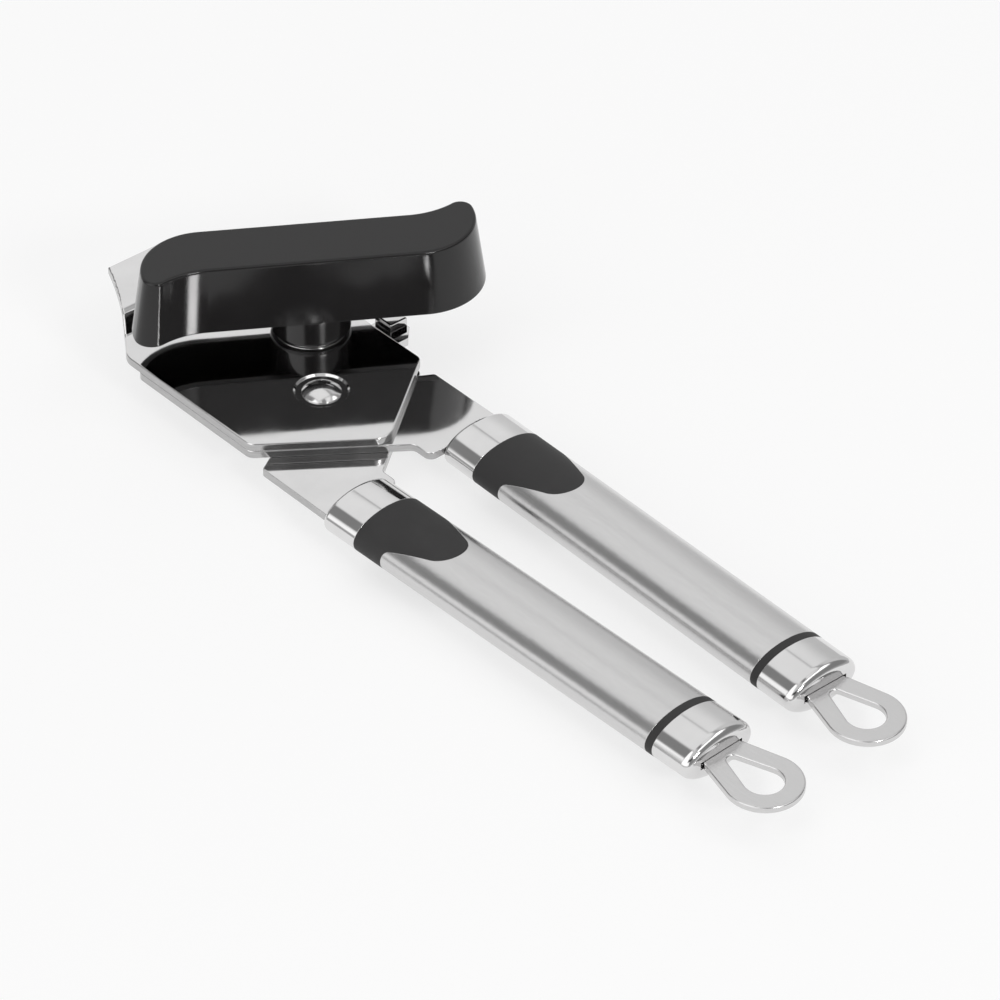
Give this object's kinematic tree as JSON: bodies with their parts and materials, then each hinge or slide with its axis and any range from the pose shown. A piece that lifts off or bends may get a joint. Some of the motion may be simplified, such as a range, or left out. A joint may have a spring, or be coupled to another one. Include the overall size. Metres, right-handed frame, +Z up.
{
  "type": "can opener",
  "caption": "Manual can opener with satin steel tube handles, a mirror-polished head, a black S-shaped turning knob and a geared cutter that swings clear as the handles open.",
  "frame": {"origin": "Bottom centre of the closed opener's box.", "axes": "+Y along the opener from the hang loops to the nose, +Z up along the knob's axis, +X towards the handle that swings out."},
  "size_m": [0.0702, 0.199, 0.0309],
  "materials": {
    "polished_steel": "mirror polished",
    "satin_steel": "satin, brushed along",
    "plain_steel": "plain machined",
    "black_plastic": "gloss sides, satin top",
    "black_rubber": "smooth, soft touch"
  },
  "bodies": {
    "frame": {"left_lever": "polished_steel", "top_plate": "polished_steel", "pivot_rivet": "polished_steel", "shaft_bush": "plain_steel", "stop_spacer": "polished_steel", "left_ferrule": "polished_steel", "left_grip": "black_rubber", "left_tube": "satin_steel", "left_ring": "black_rubber", "left_end_cap": "polished_steel", "left_hang_loop": "satin_steel", "left_core": "black_plastic", "left_tang_pins": "plain_steel", "left_loop_pin": "plain_steel"},
    "cutter_lever": {"right_lever": "polished_steel", "cutter_stud": "plain_steel", "cutter_washer": "plain_steel", "cutter_screw": "plain_steel", "right_ferrule": "polished_steel", "right_grip": "black_rubber", "right_tube": "satin_steel", "right_ring": "black_rubber", "right_end_cap": "polished_steel", "right_hang_loop": "satin_steel", "right_core": "black_plastic", "right_tang_pins": "plain_steel", "right_loop_pin": "plain_steel"},
    "knob": {"turn_knob": "black_plastic", "hub_ring": "polished_steel", "drive_shaft": "plain_steel", "drive_gear": "plain_steel", "feed_wheel": "plain_steel"},
    "cutter": {"cutter_gear": "plain_steel", "cutter_wheel": "plain_steel"}
  },
  "joints": [
    {"name": "lever_pivot", "type": "hinge", "parent": "frame", "child": "cutter_lever", "pos_m": [-0.01114, 0.04374, 0.0081], "axis": [0, 0, 1], "range_deg": [0, 30]},
    {"name": "knob_spin", "type": "hinge", "parent": "frame", "child": "knob", "pos_m": [0.00066, 0.06114, 0.0081], "axis": [0, 0, 1], "continuous": true},
    {"name": "cutter_spin", "type": "hinge", "parent": "cutter_lever", "child": "cutter", "pos_m": [-0.015, 0.0644, 0.0046], "axis": [0, 0, 1], "continuous": true}
  ],
  "couplings": [
    {"joint": "cutter_spin", "follows": "knob_spin", "ratio": -1}
  ]
}
